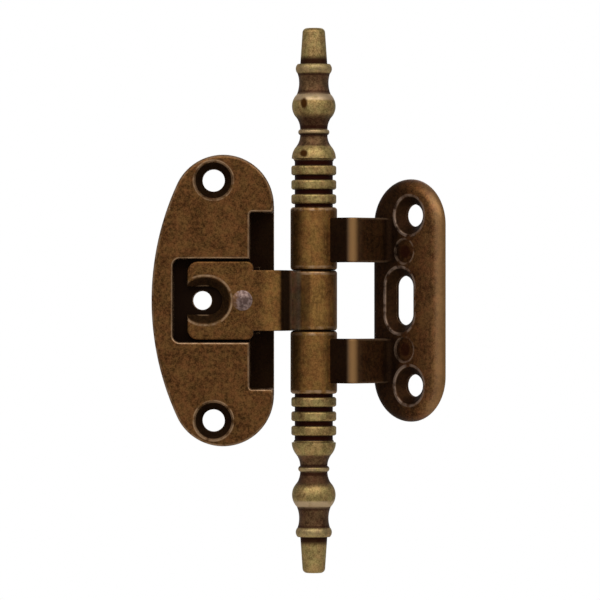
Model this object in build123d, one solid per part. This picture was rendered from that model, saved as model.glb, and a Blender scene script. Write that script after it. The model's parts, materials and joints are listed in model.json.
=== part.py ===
from build123d import *
import math
import os

# An adjustable furniture hinge. A half-moon door plate holds a forked tongue that slides sideways and
# carries the centre knuckle. A frame leaf with two cranked arms carries the outer knuckles. One pin joins
# them, with a turned finial on each end. Millimetres, +Z up the barrel, -Y out of the door plate's face.
# The origin is midway between the door plate's two screw holes, on the plane that the plate seats on.

# Barrel and pin
barrel_diameter = 8.8
centre_knuckle_height = 11.38
outer_knuckle_height = 11.89
knuckle_gap = 0.02
knuckle_edge_round = 0.6
pin_diameter = 4.0
pin_running_clearance = 0.05
pin_depth_in_finial = 6.0
pin_end_chamfer = 0.4
finial_bore_spare = 0.5

# Screws that the plates are made for
screw_hole_diameter = 4.2
screw_sink_diameter = 7.4
lock_screw_hole_diameter = 3.5

# Sideways adjustment of the tongue, each way from the middle
adjust_travel = 1.5

# Door plate, seen from the front
door_plate_width = 22.9
door_plate_end_radius = 9.5
door_plate_end_spacing = 35.6
door_plate_depth = 5.0
door_plate_edge_round = 0.7
door_screw_spacing = 45.0
axis_to_door_plate = 7.5
axis_to_door_screws = 18.8
axis_to_lock_screw = 20.9
axis_behind_door_face = 8.6
pocket_corner_round = 1.3
pocket_end_spare = 1.2
pocket_side_clearance = 0.45
pocket_edge_round = 0.45

# Troughs in the door plate that take the arms when the hinge is shut
trough_wall = 1.25
trough_side_clearance = 1.0
trough_end_clearance = 0.35
trough_floor_clearance = 0.7
trough_corner_round = 0.5

# Tongue
tongue_thickness = 2.4
tongue_width = 14.7
axis_to_tongue_end = 23.7
axis_to_tongue_shoulder = 11.3
tongue_end_round = 2.0
tongue_shoulder_round = 1.3
tongue_below_face = 0.1
tongue_slide_clearance = 0.1
tongue_rim_round = 0.35
neck_width = 11.4
neck_crest = 5.9
neck_foot = 4.0
neck_foot_front = 1.6
neck_bend_round = 1.6
neck_inner_round = 0.5
neck_edge_round = 0.25
bridge_clearance = 0.4
fork_slot_width = 5.3
fork_slot_end = 19.8
fork_sink_radius = 4.5
fork_sink_start = 20.0
fork_sink_run = 0.7

# Guide rivet, fixed in the tongue and sliding in a slot in the pocket's floor
axis_to_rivet = 13.4
rivet_shank_diameter = 2.0
rivet_head_diameter = 3.8
rivet_head_height = 0.5
rivet_tail_diameter = 3.0
rivet_tail_height = 1.0
rivet_slot_clearance = 0.05
rivet_tail_clearance = 0.15
rivet_tail_recess = 1.2

# Frame leaf, laid out with its face towards the front, then turned about the barrel
leaf_turn = 43.0
leaf_plate_width = 17.2
leaf_plate_height = 45.7
leaf_plate_thickness = 2.2
leaf_plate_start = 5.5
leaf_edge_round = 1.8
leaf_back_round = 0.2
axis_to_leaf_face = 9.8
leaf_screw_spacing = 32.0
leaf_hole_shift = 1.2
leaf_slot_travel = 5.1
leaf_mark_diameter = 4.5
leaf_mark_depth = 0.25
leaf_mark_spacing = 18.5

# Arms of the frame leaf
arm_thickness = 2.5
arm_width = 8.4
arm_spacing = 22.75
arm_crest = 10.2
arm_front = 0.56
arm_bend_round = 1.7
arm_inner_round = 0.6
arm_root_round = 1.0
arm_edge_round = 0.35

# Turned finial, as distances along it from the barrel's end, and radii
finial_groove_radius = 3.6
finial_ring_radius = 4.25
finial_ring_count = 3
finial_ring_height = 1.84
finial_groove_height = 0.87
finial_first_groove = 0.6
finial_ring_round = 0.45
finial_bulge_radius = 4.17
finial_flare_end = 13.6
finial_neck_radius = 2.58
finial_bead_radius = 2.95
finial_bead_height = 1.1
finial_ball_radius = 4.12
finial_ball_start = 16.8
finial_ball_end = 21.3
finial_ball_edge_radius = 3.2
finial_cove_radius = 2.78
finial_collar_start = 25.2
finial_collar_end = 27.0
finial_collar_radius = 3.42
finial_collar_edge_radius = 3.05
finial_tip_root_radius = 2.55
finial_tip_end_radius = 2.08
finial_length = 33.8
finial_tip_round = 0.9

# How far cutting solids run past the faces that they open, and how near a searched edge lies to its place
overrun = 1.0
edge_tolerance = 0.01

# Places worked out from the sizes above, measured from the barrel's axis towards the front, right or up
barrel_radius = barrel_diameter / 2
pin_radius = pin_diameter / 2
screw_hole_radius = screw_hole_diameter / 2
screw_sink_radius = screw_sink_diameter / 2
outer_knuckle_start = centre_knuckle_height / 2 + knuckle_gap
outer_knuckle_end = outer_knuckle_start + outer_knuckle_height
door_face = axis_behind_door_face
door_seat = door_face - door_plate_depth
tongue_front = door_face - tongue_below_face
tongue_back = tongue_front - tongue_thickness
pocket_floor = tongue_back - tongue_slide_clearance
neck_foot_back = neck_foot_front - tongue_thickness
neck_lean = math.atan2(neck_crest - neck_foot, tongue_front - neck_foot_front)
neck_run = tongue_thickness / math.cos(neck_lean)
bridge_end = neck_crest + neck_run + adjust_travel + bridge_clearance
arm_low = (arm_spacing - arm_width) / 2
arm_high = (arm_spacing + arm_width) / 2
pocket_half = tongue_width / 2 + pocket_side_clearance
trough_into_pocket = trough_corner_round + pocket_edge_round
trough_high = arm_high + trough_side_clearance
trough_left = arm_crest + adjust_travel + trough_end_clearance
trough_floor = -arm_front - trough_floor_clearance
hinge_place = Pos(axis_to_door_screws, door_seat, 0)

# A trough clears its arm and opens into the pocket, so its inner side is at the lower of the two places
trough_low = min(arm_low - trough_side_clearance, pocket_half - trough_into_pocket)


def front_slab(outline, back, front):
    """Extrude an outline seen from the front, between two distances in front of the axis."""
    return extrude(Plane.XZ.offset(back) * outline, amount=front - back)


def plan_bar(section, low, high):
    """Extrude a section seen from above, whose second coordinate points to the front."""
    from_above = Plane(origin=(0, 0, high), x_dir=(1, 0, 0), z_dir=(0, 0, -1))
    return extrude(from_above * section, amount=high - low)


def rounded_polygon(*corners):
    """A closed face from corners given as x, y and corner radius."""
    points = [(x, y) for x, y, radius in corners]
    radii = [radius for x, y, radius in corners]
    return make_face(FilletPolyline(*points, radius=radii, close=True))


def box_outline(left, right, low, high, left_round=0):
    """A rectangle seen from the front, with rounds on its left corners."""
    return rounded_polygon(
        (left, low, left_round),
        (right, low, 0),
        (right, high, 0),
        (left, high, left_round),
    )


def sink_cut(centre_gap, hole_radius, sink_radius, turn, front):
    """The cone of a countersink, drawn out along a slot when the gap between its centres isn't zero."""
    sections = []
    for radius, level in ((hole_radius, hole_radius - sink_radius), (sink_radius + overrun, overrun)):
        shape = SlotCenterToCenter(centre_gap, 2 * radius, rotation=turn) if centre_gap else Circle(radius)
        sections.append(Plane.XZ.offset(front + level) * shape)
    return loft(sections, ruled=True)


def screw_cut(x, z, front, thickness):
    """A countersunk screw hole through a plate whose face is at the given distance."""
    hole = front_slab(Circle(screw_hole_radius), front - thickness - overrun, front)
    return Pos(x, 0, z) * (hole + sink_cut(0, screw_hole_radius, screw_sink_radius, 0, front))


def knuckle(low, high):
    """One knuckle of the barrel, solid, with rounded ends."""
    body = Pos(0, 0, (low + high) / 2) * Cylinder(barrel_radius, high - low)
    return fillet(body.edges().filter_by(GeomType.CIRCLE), knuckle_edge_round)


def pin_bore(clearance):
    """The pin's hole along the whole barrel."""
    return Cylinder(pin_radius + clearance, 2 * outer_knuckle_end + 2 * overrun)


def half_moon():
    """Outline of the door plate: a straight side, two round ends and a wide arc that touches both."""
    right = -axis_to_door_plate
    left = right - door_plate_width
    end_centre = Vector(right - door_plate_end_radius, door_plate_end_spacing / 2)
    reach = end_centre.X - left
    side_radius = reach**2 + end_centre.Y**2 - door_plate_end_radius**2
    side_radius /= 2 * (reach - door_plate_end_radius)
    side_centre = Vector(left + side_radius, 0)
    outward = (end_centre - side_centre).normalized()
    touch = side_centre + outward * side_radius
    half_turn = Vector(1, 0).rotate(Axis.Z, math.degrees(math.atan2(outward.Y, outward.X)) / 2)
    half = Line((right, 0), (right, end_centre.Y))
    half += ThreePointArc((right, end_centre.Y), end_centre + half_turn * door_plate_end_radius, touch)
    middle = side_centre + (outward + Vector(-1, 0)).normalized() * side_radius
    half += ThreePointArc(touch, middle, (left, 0))
    return make_face(half + mirror(half, Plane.XZ))


def door_plate():
    """Half-moon plate with its pocket, screw holes, rivet slot and the two troughs for the arms."""
    plate = front_slab(half_moon(), door_seat, door_face)
    rim = plate.faces().sort_by(Axis.Y)[0].edges()
    plate = fillet(rim, door_plate_edge_round)
    right = -axis_to_door_plate
    troughs = Part()
    hollows = Part()
    for side in (1, -1):
        ends = sorted((side * (trough_low - trough_wall), side * (trough_high + trough_wall)))
        shell = box_outline(-trough_left - trough_wall, right, *ends, left_round=trough_wall)
        troughs += front_slab(shell, trough_floor - trough_wall, pocket_floor)
        ends = sorted((side * trough_low, side * trough_high))
        hollow = box_outline(-trough_left, right + overrun, *ends, left_round=trough_corner_round)
        hollows += front_slab(hollow, trough_floor, door_face + overrun)
    plate += troughs
    pocket_end = axis_to_tongue_end + adjust_travel + pocket_end_spare
    pocket = box_outline(-pocket_end, right + overrun, -pocket_half, pocket_half, pocket_corner_round)
    plate -= front_slab(pocket, pocket_floor, door_face + overrun)
    plate -= hollows
    passage = box_outline(-bridge_end, right + overrun, -trough_low, trough_low)
    plate -= front_slab(passage, trough_floor, door_face + overrun)
    brim = plate.faces().sort_by(Axis.Y)[0].edges()
    brim = brim.filter_by_position(Axis.Z, -trough_high - edge_tolerance, trough_high + edge_tolerance)
    brim = brim.filter_by_position(Axis.X, -pocket_end - edge_tolerance, right)
    plate = fillet(brim, pocket_edge_round)
    for z in (door_screw_spacing / 2, -door_screw_spacing / 2):
        plate -= screw_cut(-axis_to_door_screws, z, door_face, door_plate_depth)
    lock_hole = front_slab(Circle(lock_screw_hole_diameter / 2), door_seat - overrun, door_face)
    plate -= Pos(-axis_to_lock_screw, 0, 0) * lock_hole
    slot_width = rivet_shank_diameter + 2 * rivet_slot_clearance
    slot = SlotCenterToCenter(2 * adjust_travel, slot_width)
    plate -= Pos(-axis_to_rivet, 0, 0) * front_slab(slot, door_seat - overrun, door_face)
    recess_half = rivet_tail_diameter / 2 + rivet_tail_clearance
    recess_end = axis_to_rivet + adjust_travel
    recess = box_outline(-recess_end, right, -recess_half, recess_half)
    recess += Pos(-recess_end, 0) * Circle(recess_half)
    plate -= front_slab(recess, door_seat - overrun, door_seat + rivet_tail_recess)
    return plate


def neck():
    """Cranked neck from the tongue's wide part to the barrel, narrowing to the knuckle's height."""
    root = axis_to_tongue_shoulder + tongue_shoulder_round
    section = rounded_polygon(
        (-root, tongue_back, 0),
        (-root, tongue_front, 0),
        (-neck_crest, tongue_front, neck_bend_round),
        (-neck_foot, neck_foot_front, neck_inner_round),
        (0, neck_foot_front, 0),
        (0, neck_foot_back, 0),
        (-neck_foot - neck_run, neck_foot_back, neck_bend_round),
        (-neck_crest - neck_run, tongue_back, neck_inner_round),
    )
    half_neck = neck_width / 2
    half_knuckle = centre_knuckle_height / 2
    outline = make_face(
        Polyline(
            (-root, -half_neck),
            (0, -half_knuckle),
            (0, half_knuckle),
            (-root, half_neck),
            close=True,
        )
    )
    bar = plan_bar(section, -half_neck, half_neck)
    bar &= front_slab(outline, neck_foot_back - overrun, tongue_front + overrun)
    sides = bar.faces().sort_by(Axis.Z)
    return fillet(sides[0].edges() + sides[-1].edges(), neck_edge_round)


def slide_tongue():
    """Forked tongue with its countersunk U-slot, cranked neck and the centre knuckle."""
    half_width = tongue_width / 2
    half_knuckle = centre_knuckle_height / 2
    wide = rounded_polygon(
        (-axis_to_tongue_end, -half_width, tongue_end_round),
        (-axis_to_tongue_shoulder, -half_width, tongue_shoulder_round),
        (-axis_to_tongue_shoulder, half_width, tongue_shoulder_round),
        (-axis_to_tongue_end, half_width, tongue_end_round),
    )
    tongue = front_slab(wide, tongue_back, tongue_front)
    tongue = fillet(tongue.faces().sort_by(Axis.Y)[0].edges(), tongue_rim_round)
    tongue += neck()
    slot_half = fork_slot_width / 2
    slot = box_outline(-axis_to_tongue_end - overrun, -fork_slot_end, -slot_half, slot_half)
    slot += Pos(-fork_slot_end, 0) * Circle(slot_half)
    tongue -= front_slab(slot, tongue_back - overrun, tongue_front)
    sink = sink_cut(fork_sink_run, slot_half, fork_sink_radius, 0, tongue_front)
    tongue -= Pos(-fork_sink_start - fork_sink_run / 2, 0, 0) * sink
    rivet_hole = front_slab(Circle(rivet_shank_diameter / 2), tongue_back - overrun, tongue_front + overrun)
    tongue -= Pos(-axis_to_rivet, 0, 0) * rivet_hole
    tongue += knuckle(-half_knuckle, half_knuckle)
    return tongue - pin_bore(pin_running_clearance)


def guide_rivet():
    """Peened rivet: a low domed head, a shank through tongue and slot, and a flat tail."""
    head_radius = rivet_head_diameter / 2
    shank_radius = rivet_shank_diameter / 2
    dome_radius = (head_radius**2 + rivet_head_height**2) / (2 * rivet_head_height)
    dome_centre = rivet_head_height - dome_radius
    middle = math.asin(head_radius / dome_radius) / 2
    on_dome = (dome_radius * math.sin(middle), dome_centre + dome_radius * math.cos(middle))
    tail_top = door_seat + rivet_tail_recess - tongue_slide_clearance - tongue_front
    tail_bottom = tail_top - rivet_tail_height
    profile = ThreePointArc((0, rivet_head_height), on_dome, (head_radius, 0))
    profile += Polyline(
        (head_radius, 0),
        (shank_radius, 0),
        (shank_radius, tail_top),
        (rivet_tail_diameter / 2, tail_top),
        (rivet_tail_diameter / 2, tail_bottom),
        (0, tail_bottom),
        (0, rivet_head_height),
    )
    rivet = revolve(make_face(profile), Axis.Y)
    return Plane.XZ.offset(tongue_front) * Pos(-axis_to_rivet, 0, 0) * Rot(90, 0, 0) * rivet


def frame_leaf():
    """Plate with round ends, two cranked arms and the outer knuckles, face to the front."""
    face = -axis_to_leaf_face
    middle = leaf_plate_start + leaf_plate_width / 2
    outline = Pos(middle, 0) * SlotOverall(leaf_plate_height, leaf_plate_width, rotation=90)
    plate = front_slab(outline, face - leaf_plate_thickness, face)
    plate = fillet(plate.faces().sort_by(Axis.Y)[0].edges(), leaf_edge_round)
    plate = fillet(plate.faces().sort_by(Axis.Y)[-1].edges(), leaf_back_round)
    root = face - leaf_plate_thickness / 2
    section = rounded_polygon(
        (0, arm_front, 0),
        (arm_crest, arm_front, arm_bend_round),
        (arm_crest, face, arm_root_round),
        (arm_crest + 2 * arm_root_round, face, 0),
        (arm_crest + 2 * arm_root_round, root, 0),
        (arm_crest - arm_thickness, root, 0),
        (arm_crest - arm_thickness, arm_front - arm_thickness, arm_inner_round),
        (0, arm_front - arm_thickness, 0),
    )
    leaf = plate
    for side in (1, -1):
        low, high = sorted((side * arm_low, side * arm_high))
        arm = plan_bar(section, low, high)
        sides = arm.faces().filter_by(Axis.Z).edges()
        leaf += fillet(sides, arm_edge_round)
        low, high = sorted((side * outer_knuckle_start, side * outer_knuckle_end))
        leaf += knuckle(low, high)
    leaf -= pin_bore(0)
    for z in (leaf_screw_spacing / 2, -leaf_screw_spacing / 2):
        leaf -= screw_cut(middle + leaf_hole_shift, z, face, leaf_plate_thickness)
    slot = SlotCenterToCenter(leaf_slot_travel, screw_hole_diameter, rotation=90)
    slot_cut = front_slab(slot, face - leaf_plate_thickness - overrun, face)
    slot_cut += sink_cut(leaf_slot_travel, screw_hole_radius, screw_sink_radius, 90, face)
    leaf -= Pos(middle - leaf_hole_shift, 0, 0) * slot_cut
    mark = front_slab(Circle(leaf_mark_diameter / 2), face - leaf_mark_depth, face + overrun)
    for z in (leaf_mark_spacing / 2, -leaf_mark_spacing / 2):
        leaf -= Pos(middle, 0, z) * mark
    return Rot(0, 0, -leaf_turn) * leaf


def hinge_pin():
    """Plain pin through the barrel and into both finials."""
    pin = Cylinder(pin_radius, 2 * (outer_knuckle_end + pin_depth_in_finial))
    return chamfer(pin.edges().filter_by(GeomType.CIRCLE), pin_end_chamfer)


def finial_profile():
    """Half section of the finial: radius along x, distance from the barrel's end along y."""
    corners = [(finial_groove_radius, 0, 0)]
    pitch = finial_ring_height + finial_groove_height
    for index in range(finial_ring_count):
        start = finial_first_groove + index * pitch
        end = start + finial_ring_height
        corners.append((finial_groove_radius, start, 0))
        corners.append((finial_ring_radius, start, finial_ring_round))
        corners.append((finial_ring_radius, end, finial_ring_round))
        corners.append((finial_groove_radius, end, 0))
    bulge_start = finial_first_groove + finial_ring_count * pitch
    corners.append((finial_groove_radius, bulge_start, 0))
    points = [(x, y) for x, y, radius in corners]
    rings = FilletPolyline(*points, radius=[radius for x, y, radius in corners[1:-1]])
    bulge_shoulder = finial_bulge_radius - finial_ring_round
    bulge_widest = bulge_start + finial_ring_round
    bulge_end = (finial_bulge_radius + finial_neck_radius) / 2
    flare_length = finial_flare_end - bulge_widest
    bulge_turn = bulge_widest + flare_length / 2
    profile = rings + Line((finial_groove_radius, bulge_start), (bulge_shoulder, bulge_start))
    profile += RadiusArc(
        (bulge_shoulder, bulge_start),
        (finial_bulge_radius, bulge_widest),
        finial_ring_round,
    )
    profile += TangentArc((finial_bulge_radius, bulge_widest), (bulge_end, bulge_turn), tangent=(0, 1))
    leaving = profile.edges()[-1] % 1
    profile += TangentArc((bulge_end, bulge_turn), (finial_neck_radius, finial_flare_end), tangent=leaving)
    return profile


def finial():
    """Turned finial standing on the barrel's end: rings, bulge, bead, ball, cove, collar and tip."""
    bead_end = finial_flare_end + finial_bead_height
    profile = finial_profile()
    profile += ThreePointArc(
        (finial_neck_radius, finial_flare_end),
        (finial_bead_radius, finial_flare_end + finial_bead_height / 2),
        (finial_neck_radius, bead_end),
    )
    profile += TangentArc(
        (finial_neck_radius, bead_end),
        (finial_ball_edge_radius, finial_ball_start),
        tangent=(0, 1),
    )
    profile += ThreePointArc(
        (finial_ball_edge_radius, finial_ball_start),
        (finial_ball_radius, (finial_ball_start + finial_ball_end) / 2),
        (finial_ball_edge_radius, finial_ball_end),
    )
    profile += ThreePointArc(
        (finial_ball_edge_radius, finial_ball_end),
        (finial_cove_radius, (finial_ball_end + finial_collar_start) / 2),
        (finial_collar_edge_radius, finial_collar_start),
    )
    profile += ThreePointArc(
        (finial_collar_edge_radius, finial_collar_start),
        (finial_collar_radius, (finial_collar_start + finial_collar_end) / 2),
        (finial_collar_edge_radius, finial_collar_end),
    )
    bore_depth = pin_depth_in_finial + finial_bore_spare
    profile += FilletPolyline(
        (finial_collar_edge_radius, finial_collar_end),
        (finial_tip_root_radius, finial_collar_end),
        (finial_tip_end_radius, finial_length),
        (0, finial_length),
        radius=[0, finial_tip_round],
    )
    profile += Polyline(
        (0, finial_length),
        (0, bore_depth),
        (pin_radius, bore_depth),
        (pin_radius, 0),
        (finial_groove_radius, 0),
    )
    turned = revolve(make_face(profile), Axis.Y)
    return Pos(0, 0, outer_knuckle_end) * Rot(90, 0, 0) * turned


upper_finial = finial()
nodes = {
    "door_plate": door_plate(),
    "slide_tongue": slide_tongue(),
    "guide_rivet": guide_rivet(),
    "frame_leaf": frame_leaf(),
    "hinge_pin": hinge_pin(),
    "top_finial": upper_finial,
    "bottom_finial": mirror(upper_finial, Plane.XY),
}

os.makedirs("parts", exist_ok=True)
for name, solid in nodes.items():
    export_step(hinge_place * solid, f"parts/{name}.step")
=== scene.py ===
import json
import math

import bpy
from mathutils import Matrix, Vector


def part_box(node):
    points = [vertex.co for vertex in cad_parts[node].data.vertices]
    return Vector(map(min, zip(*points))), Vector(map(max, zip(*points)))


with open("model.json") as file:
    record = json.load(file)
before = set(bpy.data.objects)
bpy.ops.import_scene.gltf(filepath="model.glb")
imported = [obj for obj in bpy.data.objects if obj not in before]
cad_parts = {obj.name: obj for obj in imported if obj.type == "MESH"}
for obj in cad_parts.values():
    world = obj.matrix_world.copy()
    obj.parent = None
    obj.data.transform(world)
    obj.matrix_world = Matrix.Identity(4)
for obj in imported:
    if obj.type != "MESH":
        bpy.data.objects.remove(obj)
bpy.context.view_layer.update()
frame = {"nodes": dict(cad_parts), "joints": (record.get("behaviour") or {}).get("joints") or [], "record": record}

# Places on the hinge, in millimetres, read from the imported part
METRE = 1000.0
joints = {joint["name"]: joint for joint in frame["joints"]}
mounts = {mount["name"]: mount for mount in frame["record"]["mounts"]}
axis_x, axis_y, axis_z = (METRE * value for value in joints["leaf_swing"]["pos_m"])
leaf_turn = math.radians(joints["leaf_swing"]["range_deg"][1])
door_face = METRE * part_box("door_plate")[0].y
tongue_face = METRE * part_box("slide_tongue")[0].y
barrel_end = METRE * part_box("top_finial")[0].z
rivet_middle = METRE * sum(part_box("guide_rivet"), Vector()) / 2
door_screw_reach = mounts["door_screws"]["dims"]["spacing_y_mm"] / 2
frame_screw_reach = mounts["frame_screws"]["dims"]["pcd_mm"] / 2


def leaf_place(x, y):
    """Where a point lies along the frame leaf and in front of the barrel's axis, square to the leaf."""
    right = x - axis_x
    front = axis_y - y
    along = right * math.cos(leaf_turn) + front * math.sin(leaf_turn)
    ahead = front * math.cos(leaf_turn) - right * math.sin(leaf_turn)
    return along, ahead


def mount_on_leaf(name):
    """Where one of the leaf's mounts lies, by the same two distances."""
    x, y = (METRE * value for value in mounts[name]["pos_m"][:2])
    return leaf_place(x, y)


# Sizes of the features that the finishes follow, in millimetres
sink_radius = 3.7
slot_half_run = 2.55
mark_radius = 2.25
mark_reach = 9.25
pocket_end = axis_x - 26.4
trough_reach = 16.6
barrel_radius = 4.4
knuckle_joint = 5.7
knuckle_round = 0.6
fork_end = axis_x - 19.8
fork_half = 2.65
fork_sink_radius = 4.5
fork_sink_middle = axis_x - 20.35
fork_sink_half_run = 0.35
fork_sink_depth = 1.85
leaf_thickness = 2.2
arm_crest = 10.2
arm_front = 0.56
arm_half = 4.2
arm_centre = 11.4
leaf_screw_along, leaf_seat = mount_on_leaf("frame_screws")
leaf_slot_along = mount_on_leaf("frame_height_slot")[0]
leaf_face = leaf_seat + leaf_thickness
mark_along = (leaf_screw_along + leaf_slot_along) / 2

# The finial, as distances along it from the barrel's end, and radii
groove_radius = 3.6
ring_radius = 4.25
rings_end = 9.0
flare_turn = 11.0
bead_start = 13.6
bead_end = 14.7
ball_start = 16.8
ball_end = 21.3
collar_start = 25.2
collar_end = 27.0

# The photograph's frame: pixels, pixels to the millimetre, and where the barrel's middle is seen
image_side = 600
pixels_per_mm = 5.3
barrel_pixel = (313.8, 300.5)
camera_distance = 1000.0
camera_sensor = 36.0

# Colours of the finishes, as linear red, green and blue. A finish varies between the two tones of a pair
# Near-black soot, also the colour of painted shade
soot_and_shade = (0.012, 0.0062, 0.004)
plate_brown = ((0.050, 0.0212, 0.0069), (0.222, 0.100, 0.0345))
tongue_olive = ((0.048, 0.0205, 0.0065), (0.235, 0.110, 0.037))
# Frame leaf's outer tones: a change of tone and painted light, lighter away from the barrel
leaf_lit_gold = ((0.10, 0.042, 0.016), (0.33, 0.158, 0.062))
# Painted light: the lighter grey of the centre knuckle's flank beside the neck
flank_lit_grey = ((0.26, 0.192, 0.136), (0.52, 0.380, 0.268))
# Frame leaf's inner tones: a change of tone and painted shade, darker towards the barrel
leaf_shaded_brown = ((0.06, 0.022, 0.008), (0.26, 0.112, 0.040))
barrel_gold = ((0.17, 0.078, 0.024), (0.40, 0.205, 0.062))
turned_brass = ((0.19, 0.125, 0.046), (0.56, 0.395, 0.165))
cove_brown = ((0.058, 0.027, 0.013), (0.22, 0.120, 0.060))
rubbed_tan = (0.46, 0.29, 0.165)
# Painted highlight colour on the leaf's arm crests and outer edge
highlight_gold = (0.42, 0.235, 0.095)
# The finials' rubbed colour, also their painted highlight on the ball's shoulder
rubbed_and_highlight_pink = (0.66, 0.48, 0.30)
rubbed_grey = (0.40, 0.285, 0.22)
groove_red = (0.034, 0.0075, 0.0045)
spot_brown = (0.066, 0.0205, 0.003)
olive_tint = (0.99, 1.05, 0.96)
red_tint = (1.04, 0.96, 0.93)
rivet_grey = ((0.13, 0.082, 0.070), (0.34, 0.235, 0.205))
pin_grey = ((0.10, 0.085, 0.075), (0.20, 0.18, 0.165))
pale_floor = ((0.80, 0.79, 0.77), (0.74, 0.73, 0.71))

# Below, a mask's pair holds the measures where it is 0 and 1, shares run from 0 to 1, and sizes are in mm

# Plating on all the castings and finials
cloud_size = 4.0
mottle_size = 0.7
speck_size = 0.22
warm_size = 1.6
patch_size = 1.4
cloud_share = 0.25
mottle_share = 0.35
speck_share = 0.40
mottle_height = 0.5
speck_height = 0.5
shade_noise = (0.35, 0.65)
warm_noise = (0.36, 0.64)
patch_noise = (0.30, 0.60)
edge_sharpness = (0.02, 0.14)
edge_open_reach = 1.5
edge_openness = (0.45, 0.75)
closed_openness = (0.70, 0.30)
line_core = 0.4
plating_roughness = 0.42
mottle_roughness = 0.16
dirt_roughness = 0.2
wear_polish = 0.05
recess_samples = 8
edge_samples = 6

# Barrel: masks over the radius and beside the joints between the knuckles
barrel_around = (barrel_radius + 0.5, barrel_radius + 0.1)
joint_beside = (0.35, 0.15)
joint_dirt = 0.92
joint_line_width = 0.35
end_line_inset = 0.7 * knuckle_round
end_line_width = 0.45
streak_size = 0.5
streak_stretch = (1.0, 1.0, 8.0)
streak_noise = (0.48, 0.72)
streak_dirt = 0.3

# Door plate: masks over the depth behind its face, over how far it faces the front, and past a sink's edge
plate_floor_depth = (0.5, 1.3)
plate_floor_front = (0.3, 0.8)
plate_deep_depth = (4.0, 5.0)
plate_cone_edge = (-0.15, -0.45)
plate_cone_depth = (3.0, 2.0)
plate_ring_depth = (0.6, 0.4)
rim_depth = (0.80, 0.30)
rim_front = (0.98, 0.75)
rim_edge = (0.0, 0.2)
brim_depth = (0.55, 0.35)
brim_front = (0.995, 0.93)
brim_end = (pocket_end - 0.8, pocket_end - 0.6)
brim_side = (trough_reach + 0.8, trough_reach + 0.6)
# Patina and painted shade on the floors of the pocket and troughs
plate_floor_patina_and_shade = 0.97
plate_deep_relief = 0.1
plate_cone_dirt = 0.88
# Patina and painted shade where the plate is closed in
plate_closed_reach = 3.0
plate_closed_patina_and_shade = 0.85
plate_ring_inset = 0.05
plate_ring_width = 0.34
plate_ring_wear = 0.8
plate_edge_width = 0.40
plate_edge_wear = 0.9
rim_wear = 0.65
brim_wear = 0.4
brim_patch_wear = 0.5
plate_grain = 0.020

# Tongue: masks to the right of the barrel's axis, over the depth behind its face, and towards the fork
fork_left = (rivet_middle.x - 2.2, rivet_middle.x - 2.7)
fork_depth = (0.06, 0.40)
fork_tip = (fork_end + 0.3, fork_end - 0.3)
fork_ring_depth = (0.4, 0.2)
foot_right = (-4.8, -4.1)
neck_right = (-7.5, -6.5)
neck_depth = (0.03, 0.5)
neck_crest_right = (-10.4, -8.4)
neck_crest_depth = (0.5, 0.1)
flank_right = (-2.2, -3.0)
flank_front = (axis_y + 0.5, axis_y - 1.5)
fork_dirt = 0.77
fork_ring_outset = 0.1
fork_ring_width = 0.32
fork_edge_width = 0.3
fork_edge_depth = 0.4
fork_edge_wear = 0.5
# Painted shade on the neck's steep slope down to the barrel
neck_shade = 0.86
# Painted highlight: the share of gold on the crest of the tongue's face before the neck
neck_crest_highlight = 0.6
# Painted light: how much less of the barrel's soot and streaks the flank keeps
flank_brightening = 0.8
# Painted shade: a dark upright line on the centre knuckle, left of its middle
bend_right = -1.35
bend_width = 1.0
bend_shade = 0.48
# Patina and painted shade where the tongue is closed in
tongue_closed_reach = 2.0
tongue_closed_patina_and_shade = 0.80
tongue_edge_width = 0.40
tongue_wear = 0.8
tongue_grain = 0.018

# Frame leaf: masks along it, ahead of the barrel's axis, past the edges of sinks and marks, and on the arms
leaf_plate_ahead = (leaf_face + 0.6, leaf_face + 0.2)
leaf_front_ahead = (leaf_seat + 0.1, leaf_seat + 0.5)
arms_ahead = (leaf_face + 0.2, leaf_face + 1.0)
outer_along = (arm_crest + 1.0, arm_crest + 9.0)
# Where the leaf's tones turn from brown to gold: a change of tone and painted light
field_along = (mark_along + 2.0, mark_along + 7.0)
before_crest_along = (arm_crest - 0.6, arm_crest - 1.4)
leaf_cone_edge = (0.0, -0.30)
stain_edge = (-0.40, -1.35)
outer_edge_facing = (0.20, 0.95)
inner_edge_facing = (-0.05, -0.50)
root_reach = (4.4, 0.9)
root_beside = (arm_half + 2.4, arm_half - 0.4)
crest_reach = (2.0, 0.6)
tail_reach = (3.2, 1.0)
arm_edge_beside = (arm_half - 0.5, arm_half - 0.15)
sheltered_right = (-1.6, -3.2)
root_along = arm_crest + 0.8
crest_along = arm_crest + 0.4
crest_ahead = arm_front - 0.4
leaf_cone_dirt = 0.82
stain_dirt = 0.88
# Patina and painted shade where the leaf is closed in
leaf_closed_reach = 2.5
leaf_closed_patina_and_shade = 0.85
leaf_barrel_dirt = 0.10
# Painted shade: the outer knuckles' left side, the arms with more before their crests, the inner plate, the leaf's
# inner edge and round the arms' roots
sheltered_shade = 0.45
arm_shade = 0.60
before_crest_shade = 0.30
inner_plate_shade = 0.76
inner_edge_shade = 0.92
root_shade = 0.90
ring_outset = 0.1
sink_ring_width = 0.38
mark_ring_width = 0.30
mark_ring_wear = 0.7
leaf_edge_width = 0.25
leaf_wear = 0.85
# Painted highlights on the arm crests and the soft fall-off beside them
crest_highlight_share = 0.80
tail_highlight_share = 0.15
arm_edge_wear = 0.30
# Painted highlight on the leaf's outer edge
outer_edge_highlight_share = 0.54
leaf_grain = 0.018

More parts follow.
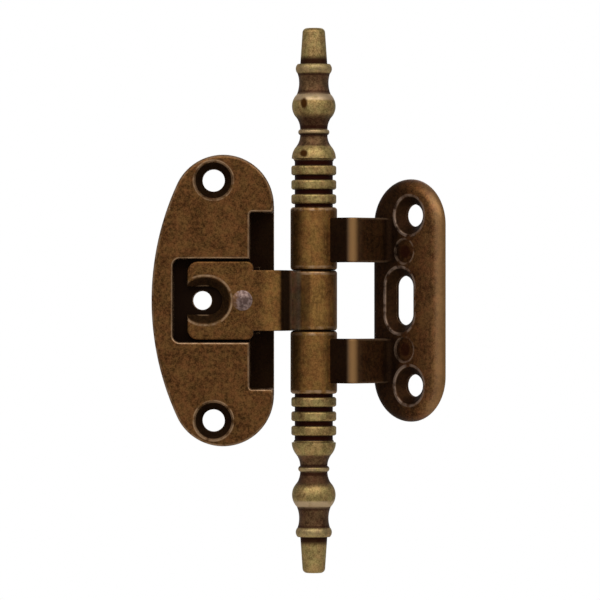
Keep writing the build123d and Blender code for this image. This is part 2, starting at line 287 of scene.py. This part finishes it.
# Finials: masks over the radius and along the finial
groove_around = (ring_radius - 0.05, groove_radius + 0.2)
grooves_end = (rings_end, rings_end - 0.2)
flare_around = (3.45, 3.10)
flare_start = (flare_turn - 0.2, flare_turn + 0.2)
flare_end = (bead_end, bead_start)
throat_start = (bead_end - 0.3, bead_end)
throat_end = (ball_start + 1.2, ball_start - 0.4)
cove_start = (ball_end - 0.05, ball_end + 0.1)
cove_end = (collar_start + 0.1, collar_start - 0.1)
tip_root_start = (collar_end - 0.1, collar_end)
tip_root_end = (collar_end + 1.9, collar_end + 0.7)
finial_patch_noise = (0.2, 0.5)
throat_dirt = 0.40
tip_root_dirt = 0.95
crease_dirt = 0.80
bead_middle = (bead_start + bead_end) / 2 + 0.15
bead_width = 0.6
bead_wear = 0.35
# A rubbed band with a painted highlight on the ball's shoulder, the same on both finials
shoulder_middle = ball_end - 0.45
shoulder_width = 0.95
shoulder_wear_and_highlight = 0.75
collar_middle = (collar_start + collar_end) / 2
collar_width = 1.1
collar_wear = 0.2
finial_edge_width = 0.25
finial_edge_wear = 0.2
finial_grain = 0.012

# Creases of the finial: how far along it they lie, their width, and their share of the crease's dirt
finial_creases = (
    (bead_start, 0.45, 1.0),
    (bead_end + 0.35, 0.55, 1.0),
    (ball_end + 0.30, 0.50, 0.7),
    (collar_start - 0.15, 0.40, 0.7),
)

# Brown spots on the upper finial: x, z, half the width and half the height
finial_spots = ((axis_x - 1.85, 37.1, 0.66, 1.10), (axis_x - 1.9, 27.7, 0.78, 0.72))
spot_edge = (1.5, 0.8)
spot_front = (axis_y, axis_y - 1.0)
spot_uneven_size = 0.7
spot_uneven = 0.4
spot_dirt = 0.97

# Rivet: a painted dark reflection slanting across its head, and tarnish towards its left side
rivet_wear_size = 0.5
rivet_shade_noise = (0.35, 0.65)
reflection_slope = 0.45
reflection_width = 0.5
reflection_ends = (1.3, 0.7)
reflection_darkening = 0.8
tarnish_right = (-0.1, -1.1)
tarnish_uneven = 0.8
tarnish_share = 0.7
rivet_roughness = 0.40
rivet_wear_roughness = 0.2
rivet_grain = 0.08

# Pin: fine lines along it
pin_line_size = 0.3
pin_line_stretch = (1.0, 1.0, 6.0)
pin_roughness = 0.34
pin_line_roughness = 0.12

# Floor: how far it lies below the hinge's middle, its side and its paint
floor_drop = 190.0
floor_side = 700.0
floor_cloud_size = 40.0
floor_roughness = 0.9

# Light: the tent's own glow, and each soft panel's place and size in millimetres and power in watts
tent_glow = 0.36
panels = {
    "front_panel": ((axis_x, -1250, 150), (1500, 900), 1.0),
    "top_panel": ((axis_x, -600, 600), (2000, 400), 6.0),
    "back_panel": ((axis_x, 1000, 700), (900, 600), 2.0),
}

# Places of a Mix node's colour sockets, whose names repeat
mix_share, mix_under, mix_over = 0, 6, 7
mix_result = 2


class Value:
    """A socket of a finish. Arithmetic on it adds Math nodes to the finish."""

    def __init__(self, finish, socket):
        self.finish = finish
        self.socket = socket

    def __add__(self, other):
        return self.finish.math("ADD", self, other)

    def __sub__(self, other):
        return self.finish.math("SUBTRACT", self, other)

    def __rsub__(self, other):
        return self.finish.math("SUBTRACT", other, self)

    def __mul__(self, other):
        return self.finish.math("MULTIPLY", self, other)

    def __pow__(self, other):
        return self.finish.math("POWER", self, other)

    def __abs__(self):
        return self.finish.math("ABSOLUTE", self)

    __radd__ = __add__
    __rmul__ = __mul__


class Finish:
    """One procedural material, with the measures of the surface that its masks are made from."""

    def __init__(self, name):
        self.material = bpy.data.materials.new(name)
        self.material.use_nodes = True
        self.tree = self.material.node_tree
        self.tree.nodes.clear()
        self.shader = self.node("ShaderNodeBsdfPrincipled")
        self.node("ShaderNodeOutputMaterial", Surface=self.shader.outputs["BSDF"])
        here = self.node("ShaderNodeTexCoord")
        self.surface = self.node("ShaderNodeNewGeometry")
        scale = {"operation": "SCALE"}
        place = self.node("ShaderNodeVectorMath", scale, Vector=here.outputs["Object"], Scale=METRE)
        self.place = place.outputs["Vector"]
        self.x, self.y, self.z = self.split(self.place)
        self.normal = self.split(here.outputs["Normal"])

    def node(self, kind, settings=None, **sockets):
        """Add a node: its settings first, then its sockets' values or links, with _ for a space."""
        made = self.tree.nodes.new(kind)
        for name, value in (settings or {}).items():
            setattr(made, name, value)
        for name, value in sockets.items():
            self.feed(made.inputs[name.replace("_", " ")], value)
        return made

    def feed(self, socket, value):
        """Link a socket to a value, or set it to a number or colour."""
        value = getattr(value, "socket", value)
        if isinstance(value, bpy.types.NodeSocket):
            self.tree.links.new(value, socket)
        elif socket.type == "RGBA":
            socket.default_value = (*value, 1.0)
        else:
            socket.default_value = value

    def split(self, vector):
        """The three parts of a vector."""
        parts = self.node("ShaderNodeSeparateXYZ", Vector=vector).outputs
        return [Value(self, part) for part in parts]

    def math(self, operation, *values):
        """The result of a Math node."""
        made = self.node("ShaderNodeMath", {"operation": operation})
        for socket, value in zip(made.inputs, values):
            self.feed(socket, value)
        return Value(self, made.outputs["Value"])

    def least(self, one, other):
        """The lower of two values."""
        return self.math("MINIMUM", one, other)

    def most(self, one, *others):
        """The highest of several values."""
        for other in others:
            one = self.math("MAXIMUM", one, other)
        return one

    def reach(self, one, other):
        """Distance from where both values are zero."""
        return (one * one + other * other) ** 0.5

    def rise(self, value, start, end):
        """A smooth step from 0 at start to 1 at end, which may lie below start."""
        smooth = {"interpolation_type": "SMOOTHSTEP"}
        made = self.node("ShaderNodeMapRange", smooth, Value=value, From_Min=start, From_Max=end)
        return Value(self, made.outputs["Result"])

    def line(self, value, width):
        """A line where the value is zero, fading out at a width on both sides."""
        return self.rise(abs(value), width, line_core * width)

    def mix(self, share, under, over, blend="MIX"):
        """A colour that goes from one to the other with the share, or by another blend."""
        made = self.node("ShaderNodeMix", {"data_type": "RGBA", "blend_type": blend})
        for index, value in ((mix_share, share), (mix_under, under), (mix_over, over)):
            self.feed(made.inputs[index], value)
        return made.outputs[mix_result]

    def noise(self, size, detail=3.0, stretch=(1.0, 1.0, 1.0), shift=0.0):
        """Noise from 0 to 1 with spots of a size in millimetres, drawn out by the stretch."""
        scaled = [1.0 / (size * each) for each in stretch]
        shifted = (shift, shift, shift)
        moved = self.node("ShaderNodeMapping", Vector=self.place, Scale=scaled, Location=shifted)
        made = self.node("ShaderNodeTexNoise", Vector=moved.outputs["Vector"], Scale=1.0, Detail=detail)
        return Value(self, made.outputs["Fac"])

    def openness(self, reach):
        """1 on open surfaces, falling towards 0 in recesses within a reach in millimetres."""
        settings = {"samples": recess_samples}
        made = self.node("ShaderNodeAmbientOcclusion", settings, Distance=reach / METRE)
        return Value(self, made.outputs["AO"])

    def edges(self, width):
        """How sharply the surface turns within a width in millimetres: 0 on flats."""
        rounded = self.node("ShaderNodeBevel", {"samples": edge_samples}, Radius=width / METRE)
        along = self.node("ShaderNodeVectorMath", {"operation": "DOT_PRODUCT"})
        self.feed(along.inputs[0], rounded.outputs["Normal"])
        self.feed(along.inputs[1], self.surface.outputs["Normal"])
        return 1.0 - Value(self, along.outputs["Value"])

    def grain(self, height, depth):
        """Roughen the surface with a bump of a depth in millimetres."""
        bump = self.node("ShaderNodeBump", Height=height, Distance=depth / METRE, Strength=1.0)
        self.feed(self.shader.inputs["Normal"], bump.outputs["Normal"])

    def metal(self, colour, roughness):
        """Make the surface metallic, with a colour and a roughness."""
        self.feed(self.shader.inputs["Base Color"], colour)
        self.shader.inputs["Metallic"].default_value = 1.0
        self.feed(self.shader.inputs["Roughness"], roughness)

    def show(self, *node_names):
        """Put the finish on pieces of the hinge."""
        for name in node_names:
            piece = frame["nodes"][name]
            piece.data.materials.clear()
            piece.data.materials.append(self.material)


def antique(finish, tones, dirt_and_shade, wear_and_highlight, grain_depth, rubbed_and_highlight=rubbed_tan, grime_and_shade=soot_and_shade):
    """Antique plating: mottled body tones, darkened towards the grime colour by grime, patina and, where a finish
    adds it, painted shade, and lightened towards the rubbed colour by rubbed edges and, where a finish adds them,
    painted highlights.
    """
    cloud = finish.noise(cloud_size)
    mottle = finish.noise(mottle_size, shift=7.0)
    speck = finish.noise(speck_size, detail=2.0, shift=19.0)
    shade = finish.rise(cloud * cloud_share + mottle * mottle_share + speck * speck_share, *shade_noise)
    warm = finish.rise(finish.noise(warm_size, shift=31.0), *warm_noise)
    tint = finish.mix(warm, olive_tint, red_tint)
    colour = finish.mix(1.0, finish.mix(shade, *tones), tint, "MULTIPLY")
    # Darkening: grime and patina, and painted shade where a finish adds it
    colour = finish.mix(dirt_and_shade, colour, grime_and_shade)
    # Lightening: rubbed metal, and painted highlights where a finish adds them
    colour = finish.mix(wear_and_highlight, colour, rubbed_and_highlight)
    roughness = plating_roughness + mottle * mottle_roughness + dirt_and_shade * dirt_roughness - wear_and_highlight * wear_polish
    finish.metal(colour, roughness)
    finish.grain(mottle * mottle_height + speck * speck_height, grain_depth)


def broken(finish, noise=patch_noise):
    """Patches that break up a worn line."""
    return finish.rise(finish.noise(patch_size, shift=11.0), *noise)


def rubbed_edges(finish, width):
    """Rubbed outer edges, kept out of the recesses."""
    sharp = finish.rise(finish.edges(width), *edge_sharpness)
    return sharp * finish.rise(finish.openness(edge_open_reach), *edge_openness)


def closed_in(finish, reach):
    """1 where the surface is closed in within a reach, such as the sides of a pocket."""
    return finish.rise(finish.openness(reach), *closed_openness)


def axis_distance(finish):
    """How far the surface lies from the barrel's axis."""
    return finish.reach(finish.x - axis_x, finish.y - axis_y)


def barrel_share(finish):
    """1 on the barrel's knuckles."""
    return finish.rise(axis_distance(finish), *barrel_around)


def barrel_dirt(finish, barrel):
    """Soot in the joints between the knuckles, and upright streaks of dirt."""
    joint = finish.rise(abs(abs(finish.z) - knuckle_joint), *joint_beside)
    streaks = finish.rise(finish.noise(streak_size, stretch=streak_stretch, shift=5.0), *streak_noise)
    return barrel * finish.most(joint * joint_dirt, streaks * streak_dirt)


def barrel_wear(finish, barrel):
    """Rubbed lines round the ends of the knuckles."""
    joint_lines = finish.line(abs(abs(finish.z) - knuckle_joint) - knuckle_round, joint_line_width)
    end_lines = finish.line(abs(finish.z) - barrel_end + end_line_inset, end_line_width)
    return barrel * finish.most(joint_lines, end_lines) * broken(finish)


def door_plate_finish():
    """Brown plating, soot-dark patina and painted shade in the pocket and troughs, and a rubbed rim, brim and
    screw sinks.
    """
    finish = Finish("door_plate_finish")
    depth = finish.y - door_face
    front = 0.0 - finish.normal[1]
    relief = 1.0 - finish.rise(depth, *plate_deep_depth) * plate_deep_relief
    # Patina and painted shade on the floors of the pocket and troughs
    sunk = finish.rise(depth, *plate_floor_depth) * finish.rise(front, *plate_floor_front) * relief
    sink = finish.reach(finish.x, abs(finish.z) - door_screw_reach) - sink_radius
    cone = finish.rise(sink, *plate_cone_edge) * finish.rise(depth, *plate_cone_depth)
    # Patina and painted shade where the plate is closed in
    closed = closed_in(finish, plate_closed_reach)
    dirt_and_shade = finish.most(sunk * plate_floor_patina_and_shade, cone * plate_cone_dirt, closed * plate_closed_patina_and_shade)
    beside_pocket = finish.rise(finish.x, *brim_end) * finish.rise(abs(finish.z), *brim_side)
    brim = finish.rise(front, *brim_front) * finish.rise(depth, *brim_depth) * beside_pocket
    rim = finish.rise(depth, *rim_depth) * finish.rise(front, *rim_front) * finish.rise(sink, *rim_edge)
    rings = finish.line(sink + plate_ring_inset, plate_ring_width) * finish.rise(depth, *plate_ring_depth)
    edges = rubbed_edges(finish, plate_edge_width)
    wear_and_highlight = finish.most(edges * plate_edge_wear, rim * rim_wear, rings * plate_ring_wear) * broken(finish)
    wear_and_highlight = finish.most(wear_and_highlight, brim * (broken(finish) * brim_patch_wear + brim_wear))
    antique(finish, plate_brown, dirt_and_shade, wear_and_highlight, plate_grain)
    finish.show("door_plate")


def tongue_finish():
    """Olive plating, gold on the barrel, with a dark fork, painted shade on the neck's slope and in a line on the
    centre knuckle, a painted highlight on the neck's crest and a painted lighter grey flank on the knuckle.
    """
    finish = Finish("tongue_finish")
    depth = finish.y - tongue_face
    right = finish.x - axis_x
    barrel = barrel_share(finish)
    sunk = finish.rise(depth, *fork_depth) * finish.rise(finish.x, *fork_left)
    foot = finish.rise(right, *foot_right)
    # Painted shade on the neck's slope
    neck = finish.rise(right, *neck_right) * finish.rise(depth, *neck_depth) * (1.0 - foot)
    # Painted highlight on the crest before the neck
    crest_highlight = finish.rise(right, *neck_crest_right) * finish.rise(depth, *neck_crest_depth)
    # Painted shade: a dark upright line on the centre knuckle
    bend = finish.line(right - bend_right, bend_width) * barrel
    # Painted light: a lighter, cleaner flank on the centre knuckle beside the neck's foot
    flank = finish.rise(right, *flank_right) * finish.rise(finish.y, *flank_front) * foot
    # Patina and painted shade where closed in, away from the neck's foot
    closed = closed_in(finish, tongue_closed_reach) * (1.0 - foot)
    dirt_and_shade = finish.most(sunk * fork_dirt, neck * neck_shade, closed * tongue_closed_patina_and_shade, bend * bend_shade)
    # Joint soot and streaks, lessened on the flank by painted light
    dirt_and_shade = finish.most(dirt_and_shade, barrel_dirt(finish, barrel) * (1.0 - flank * flank_brightening))
    run = finish.most(abs(finish.x - fork_sink_middle) - fork_sink_half_run, 0.0)
    ring = finish.line(finish.reach(run, finish.z) - fork_sink_radius - fork_ring_outset, fork_ring_width)
    ring = ring * finish.rise(depth, *fork_ring_depth)
    slot_edge = finish.line(abs(finish.z) - fork_half, fork_edge_width)
    slot_edge = slot_edge * finish.line(depth - fork_sink_depth, fork_edge_depth)
    slot_edge = slot_edge * finish.rise(finish.x, *fork_tip)
    edges = rubbed_edges(finish, tongue_edge_width) * (1.0 - sunk)
    wear_and_highlight = finish.most(edges, ring, barrel_wear(finish, barrel)) * tongue_wear
    wear_and_highlight = finish.most(wear_and_highlight * broken(finish), slot_edge * fork_edge_wear)
    # Gold tone on the foot and barrel, and a painted highlight on the neck's crest
    gold = finish.most(foot, barrel, crest_highlight * neck_crest_highlight)
    tones = [finish.mix(gold, olive, golden) for olive, golden in zip(tongue_olive, barrel_gold)]
    # Painted light: the flank's lighter grey tones
    tones = [finish.mix(flank, tone, grey) for tone, grey in zip(tones, flank_lit_grey)]
    antique(finish, tones, dirt_and_shade, wear_and_highlight, tongue_grain)
    finish.show("slide_tongue")


def leaf_finish():
    """Brown plating, turning golden outwards partly by painted light, with painted shade on the arms, their roots,
    the inner plate and edge and the knuckles' left side, dark marks, rubbed rings and painted highlights on the
    arm crests and outer edge.
    """
    finish = Finish("leaf_finish")
    along, ahead = leaf_place(finish.x, finish.y)
    height = abs(finish.z)
    barrel = barrel_share(finish)
    plate = finish.rise(ahead, *leaf_plate_ahead)
    face = plate * finish.rise(ahead, *leaf_front_ahead)
    holes = finish.reach(along - leaf_screw_along, height - frame_screw_reach)
    slot = finish.reach(along - leaf_slot_along, finish.most(height - slot_half_run, 0.0))
    sink = finish.least(holes, slot) - sink_radius
    mark = finish.reach(along - mark_along, height - mark_reach) - mark_radius
    cone = finish.rise(sink, *leaf_cone_edge) * face
    stain = finish.rise(mark, *stain_edge) * face
    outer = finish.rise(along, *outer_along)
    # A change of tone and painted light, lighter along the leaf away from the barrel
    field = finish.rise(along, *field_along) * plate
    facing = finish.normal[0] * math.cos(leaf_turn) - finish.normal[1] * math.sin(leaf_turn)
    # By the way the edges face: a painted highlight on the outer edge and painted shade on the inner edge
    outer_edge = finish.rise(facing, *outer_edge_facing) * plate * (1.0 - cone)
    inner_edge = finish.rise(facing, *inner_edge_facing) * plate * (1.0 - cone)

    # Painted shade on the arms, more before their crests
    arms = finish.rise(ahead, *arms_ahead) * (1.0 - barrel)
    beside = abs(height - arm_centre)
    before_crest = finish.rise(along, *before_crest_along)
    # Painted shadow round the arms' roots
    root = finish.rise(finish.reach(along - root_along, ahead - leaf_face), *root_reach)
    root = root * finish.rise(beside, *root_beside)
    # Painted highlights on the arm crests and the fall-off beside them
    from_crest = finish.reach(along - crest_along, ahead - crest_ahead)
    crest_highlight = finish.rise(from_crest, *crest_reach)
    tail_highlight = finish.rise(from_crest, *tail_reach) * (1.0 - before_crest)
    arm_edge = finish.rise(beside, *arm_edge_beside) * arms * (1.0 - before_crest)
    # Painted shade on the outer knuckles' left side
    sheltered = finish.rise(finish.x - axis_x, *sheltered_right) * barrel

    # Patina and painted shade where closed in, off the barrel
    closed = closed_in(finish, leaf_closed_reach) * (1.0 - barrel)
    dirt_and_shade = finish.most(cone * leaf_cone_dirt, stain * stain_dirt, closed * leaf_closed_patina_and_shade)
    dirt_and_shade = finish.most(dirt_and_shade, barrel_dirt(finish, barrel), barrel * leaf_barrel_dirt)
    # Painted shade on the knuckles' left side, round the arms' roots, on the arms, across the inner plate and
    # along its inner edge
    dirt_and_shade = finish.most(dirt_and_shade, sheltered * sheltered_shade, root * root_shade)
    dirt_and_shade = finish.most(dirt_and_shade, arms * (before_crest * before_crest_shade + arm_shade))
    dirt_and_shade = finish.most(dirt_and_shade, (1.0 - outer) * plate * inner_plate_shade, inner_edge * inner_edge_shade)

    mark_rings = finish.line(mark - ring_outset, mark_ring_width) * mark_ring_wear
    rings = finish.most(finish.line(sink - ring_outset, sink_ring_width), mark_rings) * face
    edges = rubbed_edges(finish, leaf_edge_width) * (1.0 - root)
    wear_and_highlight = finish.most(edges, rings, barrel_wear(finish, barrel)) * broken(finish) * leaf_wear
    # Painted highlights on the crests, their fall-off and the outer edge
    wear_and_highlight = finish.most(wear_and_highlight, crest_highlight * crest_highlight_share, tail_highlight * tail_highlight_share, arm_edge * arm_edge_wear)
    wear_and_highlight = finish.most(wear_and_highlight, outer_edge * outer * outer_edge_highlight_share)

    # Leaf tones from brown to gold along it: a change of tone and painted light
    tones = [finish.mix(field, brown, gold) for brown, gold in zip(leaf_shaded_brown, leaf_lit_gold)]
    tones = [finish.mix(barrel, flat, golden) for flat, golden in zip(tones, barrel_gold)]
    # Gold for the painted highlights
    painted_highlights = finish.most(crest_highlight, tail_highlight, outer_edge)
    rubbed_and_highlight = finish.mix(rings, finish.mix(painted_highlights, rubbed_tan, highlight_gold), rubbed_grey)
    grime_and_shade = finish.mix(stain, soot_and_shade, groove_red)
    antique(finish, tones, dirt_and_shade, wear_and_highlight, leaf_grain, rubbed_and_highlight=rubbed_and_highlight, grime_and_shade=grime_and_shade)
    finish.show("frame_leaf")


def spot(finish, x, z, half_width, half_height):
    """A brown spot on the front of a finial, with a slightly uneven edge."""
    across = (finish.x - x) * (1.0 / half_width)
    up = (finish.z - z) * (1.0 / half_height)
    uneven = finish.noise(spot_uneven_size, detail=1.0, shift=3.0) * spot_uneven
    inside = finish.rise(finish.reach(across, up) + uneven, *spot_edge)
    return inside * finish.rise(finish.y, *spot_front)


def finial_finish():
    """Turned brass with red-black grooves, brown coves, dark creases, pale rubbed bands, a painted highlight in
    the band on the ball's shoulder, and two spots.
    """
    finish = Finish("turned_brass")
    along = abs(finish.z) - barrel_end
    radius = axis_distance(finish)
    grooves = finish.rise(radius, *groove_around) * finish.rise(along, *grooves_end)
    bead = finish.line(along - bead_middle, bead_width)
    flare = finish.rise(radius, *flare_around) * finish.rise(along, *flare_start)
    flare = flare * finish.rise(along, *flare_end)
    throat = finish.rise(along, *throat_start) * finish.rise(along, *throat_end)
    cove = finish.rise(along, *cove_start) * finish.rise(along, *cove_end)
    coves = finish.most(flare, throat, cove) * (1.0 - bead)
    tip_root = finish.rise(along, *tip_root_start) * finish.rise(along, *tip_root_end)
    spots = finish.most(*[spot(finish, *place) for place in finial_spots])
    creases = [finish.line(along - place, width) * share for place, width, share in finial_creases]
    creases = finish.most(*creases)
    dirt_and_shade = finish.most(grooves, tip_root * tip_root_dirt, throat * throat_dirt)
    dirt_and_shade = finish.most(dirt_and_shade, creases * crease_dirt, spots * spot_dirt)
    # Rubbed band and painted highlight on the ball's shoulder
    shoulder = finish.line(along - shoulder_middle, shoulder_width)
    collar = finish.line(along - collar_middle, collar_width)
    bands = finish.most(bead * bead_wear, shoulder * shoulder_wear_and_highlight, collar * collar_wear)
    bands = bands * (1.0 - spots) * (1.0 - creases)
    edges = rubbed_edges(finish, finial_edge_width)
    wear_and_highlight = finish.most(edges * finial_edge_wear, bands) * broken(finish, finial_patch_noise)
    tones = [finish.mix(coves, proud, deep) for proud, deep in zip(turned_brass, cove_brown)]
    grime_and_shade = finish.mix(spots, groove_red, spot_brown)
    antique(finish, tones, dirt_and_shade, wear_and_highlight, finial_grain, rubbed_and_highlight=rubbed_and_highlight_pink, grime_and_shade=grime_and_shade)
    finish.show("top_finial", "bottom_finial")


def rivet_finish():
    """Bare grey metal with a painted dark reflection slanting across it, and tarnished."""
    finish = Finish("bare_rivet")
    wear_and_highlight = finish.noise(rivet_wear_size)
    right = finish.x - rivet_middle.x
    # Painted dark reflection: a slanted band across the domed head
    slant = (finish.z - rivet_middle.z) + right * reflection_slope
    dark_reflection = finish.line(slant, reflection_width) * finish.rise(abs(right), *reflection_ends)
    shade = finish.rise(wear_and_highlight, *rivet_shade_noise) * (1.0 - dark_reflection * reflection_darkening)
    tarnish = finish.rise(right + wear_and_highlight * tarnish_uneven, *tarnish_right)
    colour = finish.mix(tarnish * tarnish_share, finish.mix(shade, *rivet_grey), tongue_olive[1])
    finish.metal(colour, rivet_roughness + wear_and_highlight * rivet_wear_roughness)
    finish.grain(wear_and_highlight, rivet_grain)
    finish.show("guide_rivet")


def pin_finish():
    """Plain drawn steel."""
    finish = Finish("pin_steel")
    drawn = finish.noise(pin_line_size, detail=2.0, stretch=pin_line_stretch)
    finish.metal(finish.mix(drawn, *pin_grey), pin_roughness + drawn * pin_line_roughness)
    finish.show("hinge_pin")


def aim(thing, place, target):
    """Set a light or camera down at a place, in millimetres, looking at a target."""
    thing.location = Vector(place) / METRE
    thing.rotation_euler = (Vector(target) - Vector(place)).to_track_quat("-Z", "Y").to_euler()
    bpy.context.scene.collection.objects.link(thing)


def soft_panel(name, place, size, power):
    """A soft light that looks at the barrel's middle."""
    lamp = bpy.data.lights.new(name, "AREA")
    lamp.shape = "RECTANGLE"
    lamp.size, lamp.size_y = (side / METRE for side in size)
    lamp.energy = power
    aim(bpy.data.objects.new(name, lamp), place, (axis_x, axis_y, axis_z))


def floor():
    """Pale floor, well below the hinge."""
    middle = (axis_x / METRE, 0, -floor_drop / METRE)
    bpy.ops.mesh.primitive_plane_add(size=floor_side / METRE, location=middle)
    paint = Finish("floor_paint")
    cloud = paint.noise(floor_cloud_size, detail=2.0)
    paint.feed(paint.shader.inputs["Base Color"], paint.mix(cloud, *pale_floor))
    paint.shader.inputs["Roughness"].default_value = floor_roughness
    ground = bpy.context.object
    ground.name = "floor"
    ground.data.materials.append(paint.material)


def light_tent():
    """A surround that the camera sees as white and that glows evenly on the hinge, with soft panels."""
    world = bpy.data.worlds.new("tent")
    bpy.context.scene.world = world
    world.use_nodes = True
    tree = world.node_tree
    tree.nodes.clear()
    glow = tree.nodes.new("ShaderNodeBackground")
    glow.inputs["Color"].default_value = (tent_glow, tent_glow, tent_glow, 1.0)
    white = tree.nodes.new("ShaderNodeBackground")
    white.inputs["Color"].default_value = (1.0, 1.0, 1.0, 1.0)
    seen = tree.nodes.new("ShaderNodeLightPath")
    either = tree.nodes.new("ShaderNodeMixShader")
    end = tree.nodes.new("ShaderNodeOutputWorld")
    tree.links.new(seen.outputs["Is Camera Ray"], either.inputs["Fac"])
    tree.links.new(glow.outputs["Background"], either.inputs[1])
    tree.links.new(white.outputs["Background"], either.inputs[2])
    tree.links.new(either.outputs["Shader"], end.inputs["Surface"])
    for name, (place, size, power) in panels.items():
        soft_panel(name, place, size, power)


def photo_camera():
    """A camera square to the hinge, far off, that frames it as the photograph does."""
    lens = bpy.data.cameras.new("photo_camera")
    lens.sensor_width = camera_sensor
    lens.lens = camera_distance * camera_sensor / (image_side / pixels_per_mm)
    camera = bpy.data.objects.new("photo_camera", lens)
    seen_x = axis_x + (image_side / 2 - barrel_pixel[0]) / pixels_per_mm
    seen_z = axis_z + (barrel_pixel[1] - image_side / 2) / pixels_per_mm
    aim(camera, (seen_x, axis_y - camera_distance, seen_z), (seen_x, axis_y, seen_z))
    bpy.context.scene.camera = camera


door_plate_finish()
tongue_finish()
leaf_finish()
finial_finish()
rivet_finish()
pin_finish()
floor()
light_tent()
photo_camera()
bpy.context.scene.view_settings.view_transform = "Standard"
